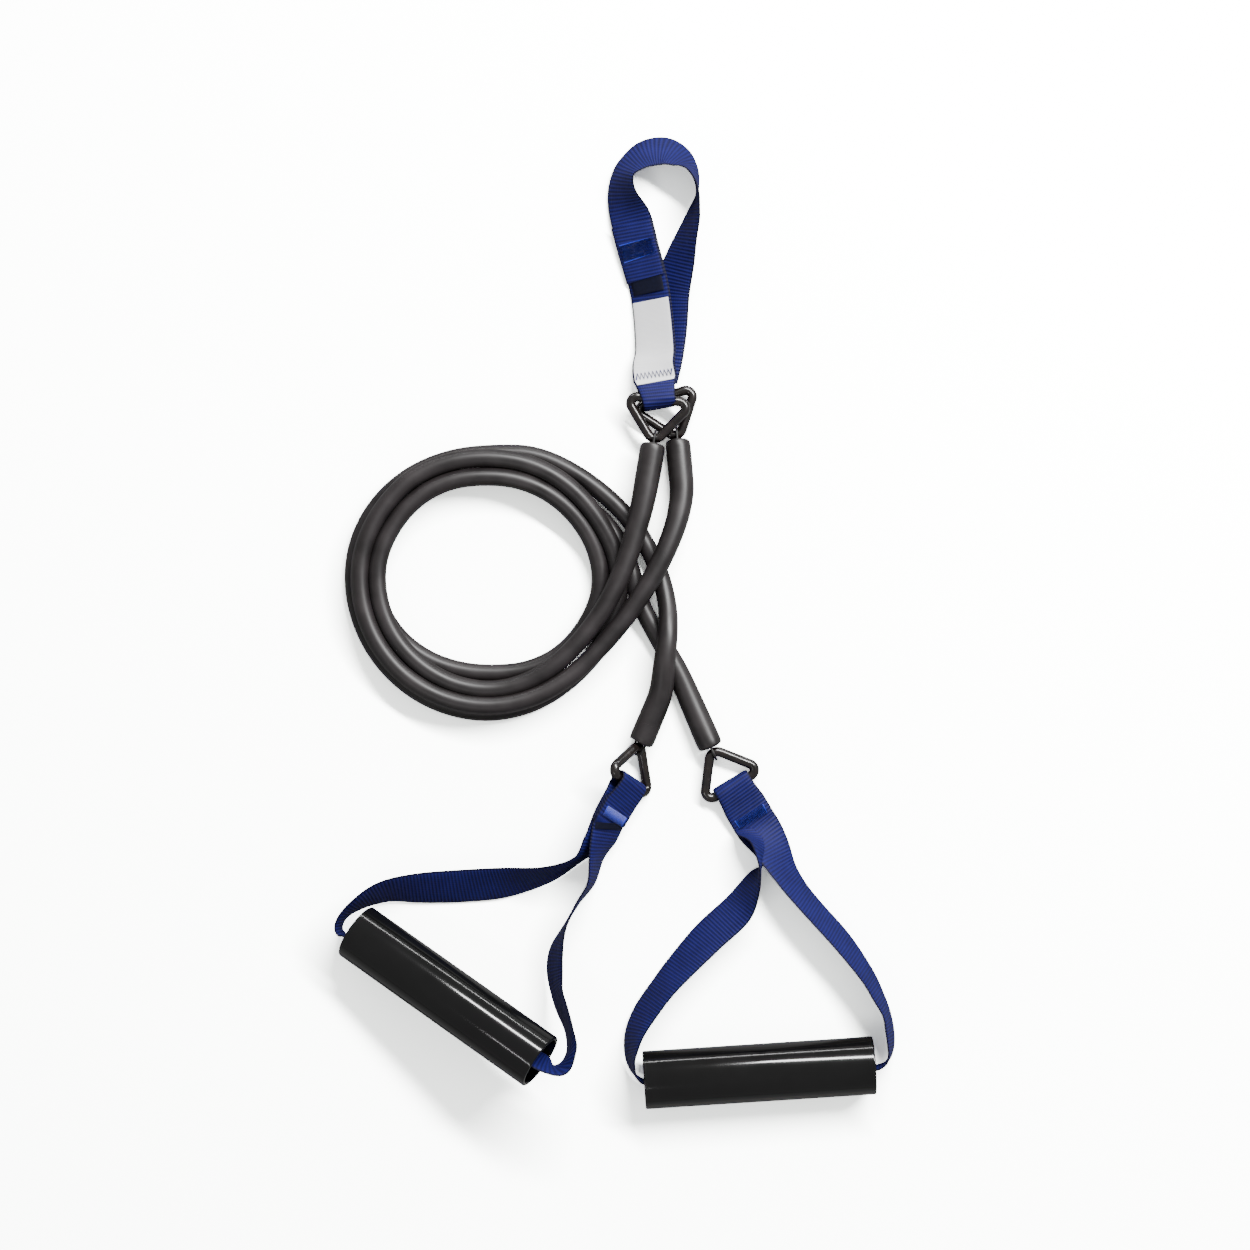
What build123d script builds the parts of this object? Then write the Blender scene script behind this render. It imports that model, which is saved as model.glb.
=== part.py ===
"""Resistance band with two handles, an anchor strap and a coil of tubing.

Two rubber tubes leave the metal rings of a webbing anchor strap, run through
one coil and end in a metal ring each.  A webbing strap hangs from each of
these rings and carries a hollow hand grip.  Millimetres, +Z up, the table is
Z = 0, and the origin is under the middle of the straps and grips.
"""
from build123d import *
import os
from math import cos, pi, radians, sin, tan

# rubber tubing
TUBE_OD = 10.5
END_OD = 14.5            # the flared end that grips its plug
END_LENGTH = 30.0
END_STRAIGHT = 16.0      # full diameter from the mouth, then a taper
END_BORE = 12.0
END_BORE_DEPTH = 15.0
PLUG_LENGTH = 5.0
LOOP_WIRE = 1.4          # thin rubber loop that holds the ring to the tube
LOOP_RADIUS = 4.1
MOUTH_GAP = 3.3          # from the ring's wire to the mouth of the tube

# triangular wire ring
WIRE = 5.6
RING_HEIGHT = 22.7
RING_HALF_BASE = 19.75
RING_BASE_ANGLE = 52.5
RING_BASE_RADIUS = 3.8
RING_APEX_RADIUS = 4.8

# webbing
WEB_WIDTH = 25.4
WEB = 1.7
TACK = 0.6               # thickness of a bar tack
BAR_CLEARANCE = 0.6
LABEL = 0.6
LABEL_WIDTH = 23.0

# hand grips
GRIP_OD = 33.4
GRIP_BORE = 29.0

# coil of tubing: outer and inner outline, lower layer and upper layer
COIL_OUTER = [(-74, 102.6), (-50, 98.5), (-40, 84), (-29.5, 68), (-9, 50), (1, 28), (4.5, 5),
              (-2, -20), (-26, -43), (-74, -57.8), (-125, -42), (-152, -8), (-159.2, 24),
              (-149, 62), (-118, 91)]
COIL_INNER = [(-86, 79.3), (-62, 73), (-32, 55), (-17, 27), (-24, -3), (-58, -24), (-103, -21),
              (-128, 3), (-136.4, 31), (-124, 62)]
COIL_CENTRE = (-74, 26.8)
COIL_FIRST_LAYER = 10.3
COIL_HEIGHT = 19.6
COIL_UPPER_FROM = 72     # the upper layer lies between these two bearings
COIL_UPPER_TO = 314

# rings: middle of the wire at the apex, middle of the straight bar
UPPER_LEFT_APEX = (21.4, 105.5, 13.4)
UPPER_LEFT_BAR = (24.0, 128.0, 13.4)
UPPER_RIGHT_APEX = (34.6, 107.9, 7.4)
UPPER_RIGHT_BAR = (27.0, 129.3, 7.4)
LOWER_LEFT_APEX = (12.4, -73.2, 7.4)
LOWER_LEFT_AXIS = (-0.244, -0.910, 0.338)
LOWER_LEFT_ACROSS = (0.572, -0.411, -0.709)
LOWER_RIGHT_APEX = (55.6, -76.1, 7.2)
LOWER_RIGHT_AXIS = (0.508, -0.856, -0.092)
LOWER_RIGHT_ACROSS = (0.860, 0.510, 0.0)

# direction in which each tube leaves its ring
UPPER_LEFT_TUBE = (-0.17, -0.985, 0.06)
UPPER_RIGHT_TUBE = (0.09, -0.985, 0.12)
LOWER_LEFT_TUBE = (0.38, 0.915, 0.11)
LOWER_RIGHT_TUBE = (-0.40, 0.915, -0.058)

# routes of the tubes between the flared ends and the coil
LEFT_LEAD = [(11.1, 52.5, 16.3), (2.3, 25.7, 16.6), (-10.5, 1.7, 16.6), (-29.2, -21.0, 16.0)]
RIGHT_LEAD = [(33.8, 54.2, 15.0), (22.7, 28.6, 17.6), (7.0, 4.5, 16.6), (-8.5, -14.5, 16.6),
              (-21.4, -29.2, 16.0)]
LEFT_TAIL = [(28.5, -24.0, 17.0), (30.0, -7.0, 17.2), (29.3, 10.0, 10.6), (24.0, 31.0, 5.3), (8.7, 57.7, 5.3),
             (-16.3, 80.5, 5.3), (-45.5, 96.8, 5.3)]
RIGHT_TAIL = [(34.5, -27.5, 5.3), (24.5, -10.5, 5.3), (11.7, 12.0, 5.3), (7.5, 30.9, 5.3),
              (-4.5, 54.5, 5.3), (-25.5, 72.5, 5.3)]

# grips: middles of the two ends
LEFT_GRIP_ENDS = ((-150.4, -178.4, 16.8), (-43.4, -250.0, 49.5))
RIGHT_GRIP_ENDS = ((15.4, -264.3, 16.8), (148.1, -255.7, 16.8))

# webbing paths: x, y, z of the middle, and the bank of the webbing in degrees
# (0 or 180 lies flat, 90 stands on its edge)
ANCHOR_HEAD = 13.0
ANCHOR_CAVITY = 7.7
ANCHOR_FOLD_WIDTH = 9.0
ANCHOR_OUT = (-0.184, 0.983, 0.0)
ANCHOR_ACROSS = (0.983, 0.184, 0.0)
ANCHOR_BAR = (24.0, 128.0, 10.4)
ANCHOR_PATH = [(21.9, 139.5, 11.4, 180), (21, 148, 10, 165), (22, 160, 8, 156), (19, 190, 7, 153),
               (12, 217, 7, 150), (7, 232, 9, 143), (2, 246, 11, 126), (3, 257, 12, 121),
               (8, 264, 11, 125), (17, 270, 10, 135), (27, 272, 10, 137), (36, 269, 10, 136),
               (42, 263, 11, 132), (45, 255, 13, 112), (46, 246, 14, 90), (44, 235, 13, 70),
               (40, 222, 12, 60), (36, 208, 10, 45), (31, 190, 7, 30), (29, 171, 6, 24),
               (26, 154, 7, 18), (22.1, 139.0, 9.4, 0)]
LABEL_FROM = 0.35
LABEL_TO = 3.0
STITCH_FROM = 0.42
STITCH_TO = 0.62
TAB_FROM = 3.3
TAB_TO = 4.7
ANCHOR_TACK_FROM = 3.85
ANCHOR_TACK_TO = 4.15

HEAD_LENGTH = 26.5
FOLD_WIDTH = 23.0
HEAD_TACK_WIDTH = 20.0
HEAD_TACK_FROM = 17.5
HEAD_TACK_LENGTH = 6.0
LEFT_OUT = (-0.490, -0.864, 0.105)
LEFT_PATH = [(-4.8, -115.8, 18.3, 135), (-8, -127, 16.4, 125), (-12, -138, 14, 108), (-15, -151, 13.5, 100),
             (-23, -163, 13.5, 94), (-30, -176, 13.5, 88), (-35, -190, 13.5, 72), (-36, -202, 14, 68),
             (-34, -216, 17, 72), (-29, -229, 26, 76), (-27, -240, 36, 80), (-28, -249, 45, 85),
             (-34, -255, 51.2, 90), (-43.4, -250, 49.5, 90), (-70, -232.2, 41.4, 90),
             (-125, -195.4, 24.6, 90), (-150.4, -178.4, 16.8, 90), (-157.5, -174.5, 14.6, 90),
             (-155, -168.5, 14, 85), (-147, -163, 13.5, 75), (-139, -158, 12.5, 62),
             (-129, -155, 11.5, 54), (-112, -154, 10, 43), (-89, -153, 9, 39), (-66, -151, 10, 43),
             (-40, -146, 13, 65), (-22, -137, 14, 78), (-12, -126, 16.4, 56), (-5.9, -115.2, 17.1, 45)]
RIGHT_PATH = [(79.5, -116.6, 1.9, 180), (81, -122, 5, 163), (83.5, -132, 12.5, 118), (83, -141, 14, 97),
              (79, -150, 13, 70), (70, -166, 10, 46), (53, -182, 10, 44), (37, -199, 11, 52),
              (26, -212, 12, 58), (16, -226, 12, 60), (10, -238, 13, 66), (8, -249, 14.5, 75),
              (9.5, -257, 16, 84), (14, -263.2, 16.8, 90), (24, -263.8, 16.8, 90),
              (139, -256.3, 16.8, 90), (149, -255.9, 16.8, 90), (155, -253, 16.6, 84),
              (157.5, -246, 15.5, 78), (157.3, -237, 14.5, 76), (155.5, -227, 13.8, 77),
              (151, -217, 13, 73), (144, -204, 12.6, 69), (130, -185, 12, 63),
              (113, -166, 12, 62), (103, -154, 11.6, 59), (95, -142, 10.6, 50),
              (88, -129, 7.5, 30), (80.2, -117.5, 3.8, 0)]


def along(start, direction, distance):
    """The point at a distance from another in a direction."""
    return Vector(start) + Vector(direction).normalized() * distance


def wire_ring(apex, axis, across):
    """A round wire bent to a triangle with rounded corners, apex at its narrow end."""
    normal = Vector(across).cross(Vector(axis))
    sharp = RING_HEIGHT - RING_HALF_BASE * tan(radians(RING_BASE_ANGLE))
    face = make_face(Polyline((0, sharp), (RING_HALF_BASE, RING_HEIGHT),
                              (-RING_HALF_BASE, RING_HEIGHT), close=True))
    corners = face.vertices().sort_by(Axis.Y)
    face = fillet(corners[0], RING_APEX_RADIUS)
    corners = face.vertices().sort_by(Axis.Y)[-2:]
    face = fillet(corners, RING_BASE_RADIUS)
    frame = Plane(origin=apex, x_dir=across, z_dir=normal)
    path = frame * face.face().outer_wire()
    section = Plane(origin=path @ 0, z_dir=path % 0) * Circle(WIRE / 2)
    return sweep(section, path=path)


def tube_end(apex, direction):
    """The flared end of a tube, hollow where the plug and the loop sit."""
    mouth = along(apex, direction, MOUTH_GAP)
    outline = [(0, 0), (END_OD / 2, 0), (END_OD / 2, END_STRAIGHT), (TUBE_OD / 2, END_LENGTH), (0, END_LENGTH)]
    body = revolve(Plane.XZ * make_face(Polyline(*outline, close=True)), Axis.Z)
    body -= extrude(Circle(END_BORE / 2), END_BORE_DEPTH)
    return Plane(origin=mouth, z_dir=direction) * body


def end_plug(apex, direction):
    """The stopper at the bottom of the flared end."""
    top = along(apex, direction, MOUTH_GAP + END_BORE_DEPTH - PLUG_LENGTH)
    return Plane(origin=top, z_dir=direction) * extrude(Circle(END_BORE / 2), PLUG_LENGTH)


def end_loop(apex, direction, across):
    """The thin loop from the plug round the wire of the ring and back."""
    run = Vector(direction).normalized()
    side = Vector(across).cross(run).normalized() * LOOP_RADIUS
    depth = MOUTH_GAP + END_BORE_DEPTH - PLUG_LENGTH
    centre = Vector(apex)
    near = centre + side
    far = centre - side
    top = centre - run * LOOP_RADIUS
    path = Wire([Edge.make_line(near + run * depth, near),
                 Edge.make_three_point_arc(near, top, far),
                 Edge.make_line(far, far + run * depth)])
    section = Plane(origin=path @ 0, z_dir=path % 0) * Circle(LOOP_WIRE / 2)
    return sweep(section, path=path)


def tube(name, apex, direction, route):
    """A tube of straight runs and tangent arcs that starts at its flared end."""
    points = [along(apex, direction, MOUTH_GAP + END_LENGTH)] + [Vector(p) for p in route]
    radii = []
    for before, corner, after in zip(points, points[1:], points[2:]):
        turn = (corner - before).get_angle(after - corner)
        shorter = min((corner - before).length, (after - corner).length)
        radii.append(0.45 * shorter / tan(radians(turn) / 2))
    path = FilletPolyline(*points, radius=radii)
    section = Plane(origin=path @ 0, z_dir=path % 0) * Circle(TUBE_OD / 2)
    solid = sweep(section, path=path.wire())
    ratio = solid.volume / (pi * TUBE_OD ** 2 / 4 * path.length)
    print(name, "radii", [round(r) for r in radii], "length", round(path.length), "volume", round(ratio, 4))
    return solid


def coil():
    """The coil's outer shape: one full layer, and a second one over most of it."""
    outer = make_face(Spline(*COIL_OUTER, periodic=True))
    inner = make_face(Spline(*COIL_INNER, periodic=True))
    lower = extrude(outer - inner, COIL_FIRST_LAYER)
    steps = 8
    wedge = [COIL_CENTRE]
    for i in range(steps + 1):
        bearing = radians(COIL_UPPER_FROM + (COIL_UPPER_TO - COIL_UPPER_FROM) * i / steps)
        wedge.append((COIL_CENTRE[0] + 200 * cos(bearing), COIL_CENTRE[1] + 200 * sin(bearing)))
    sector = make_face(Polyline(*wedge, close=True))
    upper = Pos(0, 0, COIL_FIRST_LAYER) * extrude((outer - inner) & sector, COIL_HEIGHT - COIL_FIRST_LAYER)
    return lower + upper


def stations(path):
    """Middle, width direction and face normal of the webbing at each point of its path."""
    frames = []
    for i, (x, y, z, bank) in enumerate(path):
        before = Vector(path[max(i - 1, 0)][:3])
        after = Vector(path[min(i + 1, len(path) - 1)][:3])
        run = (after - before).normalized()
        left = Vector(0, 0, 1).cross(run).normalized()
        up = run.cross(left)
        width = left * cos(radians(bank)) + up * sin(radians(bank))
        frames.append((Vector(x, y, z), width, width.cross(run)))
    return frames


def part_way(frames, place):
    """The frame at a fractional place between two stations."""
    i = min(int(place), len(frames) - 2)
    share = place - i
    return tuple(a * (1 - share) + b * share for a, b in zip(frames[i], frames[i + 1]))


def ribbon(frames, width, thickness, offset=0.0):
    """Flat webbing through the frames, shifted along its own face normal."""
    loops = []
    for middle, side, normal in frames:
        centre = middle + normal * offset
        w = side * (width / 2)
        t = normal * (thickness / 2)
        loops.append(Wire.make_polygon([centre + w + t, centre - w + t, centre - w - t, centre + w - t]))
    return Solid.make_loft(loops, ruled=True)


def stretch(frames, start, end):
    """The frames between two places, with both end places."""
    inner = [frames[i] for i in range(int(start) + 1, int(end) + 1) if i < end]
    return [part_way(frames, start)] + inner + [part_way(frames, end)]


def head(bar, out, across, cavity, fold_width, length):
    """Webbing folded round a bar and sewn flat behind it, open where the bar lies."""
    outside = cavity + WEB
    half = 1.5 * WEB
    lean = 0.3 * outside
    rise = outside * 0.95
    tail = Polyline((lean, rise), (length * 0.55 + outside * 0.3, half), (length, half),
                    (length, -half), (length * 0.55 + outside * 0.3, -half), (lean, -rise), close=True)
    profile = Circle(outside) + make_face(tail)
    hollow = Circle(cavity) + make_face(Polyline((cavity * 0.3, cavity * 0.93), (cavity * 1.35, 0),
                                                 (cavity * 0.3, -cavity * 0.93), close=True))
    block = extrude(profile - hollow, WEB_WIDTH / 2, both=True)
    plan = Polyline((-outside - 1, -fold_width / 2), (outside * 0.5, -fold_width / 2), (length, -WEB_WIDTH / 2),
                    (length, WEB_WIDTH / 2), (outside * 0.5, fold_width / 2),
                    (-outside - 1, fold_width / 2), close=True)
    trim = extrude(Plane.XZ * make_face(plan), outside + 1, both=True)
    return Plane(origin=bar, x_dir=out, z_dir=across) * (block & trim)


def loop_strap(path, sewn_head):
    """Webbing that leaves its head, runs round its loop and comes back to the head."""
    frames = stations(path)
    halfway = len(frames) // 2
    first = ribbon(frames[:halfway + 1], WEB_WIDTH, WEB)
    second = ribbon(frames[halfway:], WEB_WIDTH, WEB)
    return (sewn_head + first) + second


def head_tacks(bar, out, across):
    """Dense bar-tack stitching, standing a little proud of both faces of a sewn head."""
    pads = []
    for side in (1, -1):
        pad = Pos(HEAD_TACK_FROM + HEAD_TACK_LENGTH / 2, side * (1.5 * WEB + TACK / 2), 0) * Box(
            HEAD_TACK_LENGTH, TACK, HEAD_TACK_WIDTH)
        pads.append(Plane(origin=bar, x_dir=out, z_dir=across) * pad)
    return Compound(children=pads)


def grip(ends):
    """A hollow hand grip with rounded rims."""
    length = (Vector(ends[1]) - Vector(ends[0])).length
    body = extrude(Circle(GRIP_OD / 2) - Circle(GRIP_BORE / 2), length)
    body = fillet(body.edges().filter_by(GeomType.CIRCLE), 0.9)
    return Plane(origin=ends[0], z_dir=Vector(ends[1]) - Vector(ends[0])) * body


def bar_of(apex, axis):
    """The middle of a ring's straight bar."""
    return along(apex, axis, RING_HEIGHT)


os.makedirs("parts", exist_ok=True)
parts = {}
upper_left_axis = Vector(UPPER_LEFT_BAR) - Vector(UPPER_LEFT_APEX)
upper_right_axis = Vector(UPPER_RIGHT_BAR) - Vector(UPPER_RIGHT_APEX)
rings = {
    "upper_left": (UPPER_LEFT_APEX, upper_left_axis, upper_left_axis.cross(Vector(0, 0, 1)), UPPER_LEFT_TUBE),
    "upper_right": (UPPER_RIGHT_APEX, upper_right_axis, upper_right_axis.cross(Vector(0, 0, 1)),
                    UPPER_RIGHT_TUBE),
    "lower_left": (LOWER_LEFT_APEX, LOWER_LEFT_AXIS, LOWER_LEFT_ACROSS, LOWER_LEFT_TUBE),
    "lower_right": (LOWER_RIGHT_APEX, LOWER_RIGHT_AXIS, LOWER_RIGHT_ACROSS, LOWER_RIGHT_TUBE),
}
for place, (apex, axis, across, direction) in rings.items():
    parts[place + "_ring"] = wire_ring(apex, axis, across)
    parts[place + "_tube_end"] = tube_end(apex, direction)
    parts[place + "_end_plug"] = end_plug(apex, direction)
    parts[place + "_end_loop"] = end_loop(apex, direction, across)

parts["left_tube_lead"] = tube("left lead", UPPER_LEFT_APEX, UPPER_LEFT_TUBE, LEFT_LEAD)
parts["right_tube_lead"] = tube("right lead", UPPER_RIGHT_APEX, UPPER_RIGHT_TUBE, RIGHT_LEAD)
parts["left_tube_tail"] = tube("left tail", LOWER_LEFT_APEX, LOWER_LEFT_TUBE, LEFT_TAIL)
parts["right_tube_tail"] = tube("right tail", LOWER_RIGHT_APEX, LOWER_RIGHT_TUBE, RIGHT_TAIL)
parts["tube_coil"] = coil()

anchor = stations(ANCHOR_PATH)
anchor_head = head(ANCHOR_BAR, ANCHOR_OUT, ANCHOR_ACROSS, ANCHOR_CAVITY, ANCHOR_FOLD_WIDTH, ANCHOR_HEAD)
anchor_tab = ribbon(stretch(anchor, TAB_FROM, TAB_TO), WEB_WIDTH, WEB, WEB)
parts["anchor_strap"] = loop_strap(ANCHOR_PATH, anchor_head) + anchor_tab
parts["anchor_label"] = ribbon(stretch(anchor, LABEL_FROM, LABEL_TO), LABEL_WIDTH, LABEL, (WEB + LABEL) / 2)
parts["label_stitching"] = ribbon(stretch(anchor, STITCH_FROM, STITCH_TO), LABEL_WIDTH - 2, LABEL / 2,
                                  WEB / 2 + LABEL + LABEL / 4)
parts["anchor_bar_tack"] = ribbon(stretch(anchor, ANCHOR_TACK_FROM, ANCHOR_TACK_TO), HEAD_TACK_WIDTH, TACK,
                                  1.5 * WEB + TACK / 2)

left_bar = bar_of(LOWER_LEFT_APEX, LOWER_LEFT_AXIS)
right_bar = bar_of(LOWER_RIGHT_APEX, LOWER_RIGHT_AXIS)
cavity_radius = WIRE / 2 + BAR_CLEARANCE
left_head = head(left_bar, LEFT_OUT, LOWER_LEFT_ACROSS, cavity_radius, FOLD_WIDTH, HEAD_LENGTH)
right_head = head(right_bar, LOWER_RIGHT_AXIS, LOWER_RIGHT_ACROSS, cavity_radius, FOLD_WIDTH, HEAD_LENGTH)
parts["left_strap"] = loop_strap(LEFT_PATH, left_head)
parts["right_strap"] = loop_strap(RIGHT_PATH, right_head)
parts["left_strap_bar_tack"] = head_tacks(left_bar, LEFT_OUT, LOWER_LEFT_ACROSS)
parts["right_strap_bar_tack"] = head_tacks(right_bar, LOWER_RIGHT_AXIS, LOWER_RIGHT_ACROSS)
parts["left_grip"] = grip(LEFT_GRIP_ENDS)
parts["right_grip"] = grip(RIGHT_GRIP_ENDS)

for name, shape in parts.items():
    export_step(shape, "parts/" + name + ".step")
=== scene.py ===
"""Looks of the resistance band: two rubber tubes, four rings, an anchor strap and two handles."""
import bpy
import bmesh
from math import cos, pi, radians, sin
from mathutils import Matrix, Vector


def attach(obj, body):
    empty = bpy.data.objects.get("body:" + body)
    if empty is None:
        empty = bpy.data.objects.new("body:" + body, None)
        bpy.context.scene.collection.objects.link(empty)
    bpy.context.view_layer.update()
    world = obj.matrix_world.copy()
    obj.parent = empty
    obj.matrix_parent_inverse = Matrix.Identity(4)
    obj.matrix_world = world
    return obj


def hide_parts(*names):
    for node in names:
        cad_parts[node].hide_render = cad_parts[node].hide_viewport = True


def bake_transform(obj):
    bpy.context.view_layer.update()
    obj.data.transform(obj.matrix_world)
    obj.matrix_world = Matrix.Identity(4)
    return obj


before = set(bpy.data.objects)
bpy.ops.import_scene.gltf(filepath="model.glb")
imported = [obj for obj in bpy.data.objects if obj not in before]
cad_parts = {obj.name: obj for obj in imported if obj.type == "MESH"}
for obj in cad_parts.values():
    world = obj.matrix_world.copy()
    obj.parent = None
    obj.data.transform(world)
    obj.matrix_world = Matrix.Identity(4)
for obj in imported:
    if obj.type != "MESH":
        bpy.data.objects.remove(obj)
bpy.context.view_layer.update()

# --- Table, light and camera ---------------------------------------------------------------
# The band lies on a bright white sweep and is seen from straight above.  A long soft light
# stands to the upper right, so that faint shadows fall to the lower left.
VIEW_HEIGHT = 2.2
VIEW_MIDDLE = (0.0045, -0.0022)
VIEW_WIDTH = 0.7254
SENSOR = 36.0
SWEEP_REACH = 3.0
SWEEP_LIT = (0.22, 0.22, 0.22, 1)
SWEEP_SEEN = (6.2, 6.4, 6.2, 1)
SKY_LIT = 0.34
SKY_SEEN = 5.0
# The sockets of a Mix node in its colour form, which share their names with its other forms.
MIX_SHARE = 0
MIX_FIRST = 6
MIX_SECOND = 7
MIX_COLOUR = 2
camera_data = bpy.data.cameras.new("camera")
camera_data.sensor_width = SENSOR
camera_data.lens = SENSOR * VIEW_HEIGHT / VIEW_WIDTH
camera = bpy.data.objects.new("camera", camera_data)
camera.location = (VIEW_MIDDLE[0], VIEW_MIDDLE[1], VIEW_HEIGHT)
bpy.context.scene.collection.objects.link(camera)
bpy.context.scene.camera = camera

floor_mesh = bpy.data.meshes.new("floor")
floor_corners = [(x * SWEEP_REACH, y * SWEEP_REACH, 0) for x, y in ((-1, -1), (1, -1), (1, 1), (-1, 1))]
floor_mesh.from_pydata(floor_corners, [], [(0, 1, 2, 3)])
floor = bpy.data.objects.new("floor", floor_mesh)
bpy.context.scene.collection.objects.link(floor)
floor_material = bpy.data.materials.new("white_sweep")
floor_material.use_nodes = True
floor_shader = floor_material.node_tree.nodes["Principled BSDF"]
floor_shader.inputs["Roughness"].default_value = 1.0
floor_shader.inputs["Specular IOR Level"].default_value = 0.0
# The sweep and the sky are very bright where they are seen directly, and light the band only a little.
floor_path = floor_material.node_tree.nodes.new("ShaderNodeLightPath")
floor_tint = floor_material.node_tree.nodes.new("ShaderNodeMix")
floor_tint.data_type = "RGBA"
floor_tint.inputs[MIX_FIRST].default_value = SWEEP_LIT
floor_tint.inputs[MIX_SECOND].default_value = SWEEP_SEEN
floor_links = floor_material.node_tree.links
floor_links.new(floor_path.outputs["Is Camera Ray"], floor_tint.inputs[MIX_SHARE])
floor_links.new(floor_tint.outputs[MIX_COLOUR], floor_shader.inputs["Base Color"])
floor_mesh.materials.append(floor_material)

world = bpy.data.worlds.new("studio")
world.use_nodes = True
world_tree = world.node_tree
world_shader = world_tree.nodes["Background"]
world_shader.inputs["Color"].default_value = (1, 1, 1, 1)
world_path = world_tree.nodes.new("ShaderNodeLightPath")
world_glow = world_tree.nodes.new("ShaderNodeMapRange")
world_glow.inputs["To Min"].default_value = SKY_LIT
world_glow.inputs["To Max"].default_value = SKY_SEEN
world_tree.links.new(world_path.outputs["Is Camera Ray"], world_glow.inputs["Value"])
world_tree.links.new(world_glow.outputs["Result"], world_shader.inputs["Strength"])
bpy.context.scene.world = world


def soft_light(name, place, aim, width, height, power):
    """A rectangular soft box that faces its aim."""
    data = bpy.data.lights.new(name, "AREA")
    data.shape = "RECTANGLE"
    data.size = width
    data.size_y = height
    data.energy = power
    lamp = bpy.data.objects.new(name, data)
    lamp.location = place
    lamp.rotation_euler = (Vector(aim) - Vector(place)).to_track_quat("-Z", "Y").to_euler()
    bpy.context.scene.collection.objects.link(lamp)


soft_light("key_light", place=(0.8, 1.15, 1.7), aim=(0, 0, 0), width=1.9, height=0.2, power=120)
soft_light("low_strip_light", place=(0.2, 1.7, 0.30), aim=(0.0, -0.2, 0.02), width=3.2, height=0.04,
           power=16)
soft_light("side_strip_light", place=(-0.42, -0.62, 1.0), aim=(-0.10, -0.21, 0.03), width=0.6,
           height=0.02, power=1.2)

# --- Rubber tubes --------------------------------------------------------------------------
# Two natural-rubber tubes, 10.5 mm thick and about a metre long.  Each one is stretched over
# a stopper at both ends, goes nearly twice round the coil and ends at a handle's ring.
TUBE = 0.0105
TUBE_START = 0.010
FLARE = 1.385
# Distance behind the tube's start and share of its plain thickness, through the flared end.
FLARE_STEPS = ((0.0, FLARE), (0.010, FLARE), (0.025, 1.33))
# Share of the plain thickness at the next points, as the flare dies out.
TAPER = (1.20, 1.10, 1.04)
COIL_MIDDLE = (-0.074, 0.0268)
# The middle of each ring's narrow corner, and the way the tube that holds it runs off.
APEX = {
    "upper_left": (0.0214, 0.1055, 0.0134), "upper_right": (0.0346, 0.1079, 0.0074),
    "lower_left": (0.0124, -0.0732, 0.0074), "lower_right": (0.0556, -0.0761, 0.0072),
}
TUBE_RUN = {
    "upper_left": (-0.17, -0.985, 0.06), "upper_right": (0.09, -0.985, 0.12),
    "lower_left": (0.38, 0.915, 0.11), "lower_right": (-0.40, 0.915, -0.058),
}
# Points of each tube between its flared ends and the coil.
LEFT_LEAD = [(0.0111, 0.0525, 0.0163), (0.0023, 0.0257, 0.0170), (-0.0105, 0.0017, 0.0170)]
RIGHT_LEAD = [(0.0338, 0.0542, 0.0150), (0.0227, 0.0286, 0.0176), (0.0070, 0.0045, 0.0168),
              (-0.0085, -0.0145, 0.0168)]
LEFT_TAIL = [(-0.0455, 0.0968, 0.0053), (-0.0163, 0.0815, 0.0062), (0.0090, 0.0583, 0.0056),
             (0.0240, 0.0310, 0.0053), (0.0293, 0.0100, 0.0100), (0.0295, -0.0070, 0.0172),
             (0.0270, -0.0240, 0.0170)]
RIGHT_TAIL = [(-0.0255, 0.0725, 0.0053), (-0.0040, 0.0555, 0.0053), (0.0080, 0.0320, 0.0053),
              (0.0120, 0.0120, 0.0053), (0.0245, -0.0105, 0.0053), (0.0345, -0.0275, 0.0053)]
# Bearing in degrees, radius and height of each tube at stations of its turns round the coil.
INNER_TURNS = [(-47, 0.0650, 0.0160), (-90, 0.0674, 0.0135), (-135, 0.0662, 0.0146),
               (-180, 0.0655, 0.0152), (-225, 0.0612, 0.0155), (-270, 0.0570, 0.0157),
               (-315, 0.0595, 0.0140), (-338, 0.0630, 0.0085), (-360, 0.0662, 0.0053),
               (-405, 0.0625, 0.0053), (-450, 0.0574, 0.0053), (-540, 0.0680, 0.0053),
               (-630, 0.0598, 0.0053), (-665, 0.0640, 0.0053)]
OUTER_TURNS = [(-52, 0.0757, 0.0163), (-90, 0.0768, 0.0160), (-135, 0.0768, 0.0158),
               (-180, 0.0757, 0.0158), (-225, 0.0722, 0.0158), (-270, 0.0678, 0.0158),
               (-315, 0.0697, 0.0158), (-338, 0.0715, 0.0120), (-360, 0.0768, 0.0062),
               (-380, 0.0772, 0.0053), (-405, 0.0770, 0.0053), (-450, 0.0808, 0.0053),
               (-540, 0.0800, 0.0053), (-630, 0.0706, 0.0053), (-640, 0.0715, 0.0053)]


def coil_points(turns, step=20):
    """A tube's turns round the coil: a point every so many degrees, eased between stations."""
    points = []
    bearing = turns[0][0]
    while bearing > turns[-1][0]:
        for before, after in zip(turns, turns[1:]):
            if before[0] >= bearing > after[0]:
                share = (before[0] - bearing) / (before[0] - after[0])
                share = share * share * (3 - 2 * share)
                reach = before[1] + (after[1] - before[1]) * share
                height = before[2] + (after[2] - before[2]) * share
        angle = radians(bearing)
        points.append((COIL_MIDDLE[0] + reach * cos(angle), COIL_MIDDLE[1] + reach * sin(angle),
                       height))
        bearing -= step
    return points


def tube_ends(place):
    """The first points of a tube inside and just behind its flared end, and their thickness."""
    start = Vector(APEX[place])
    run = Vector(TUBE_RUN[place]).normalized()
    return [(start + run * (TUBE_START + extra), flare) for extra, flare in FLARE_STEPS]


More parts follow.
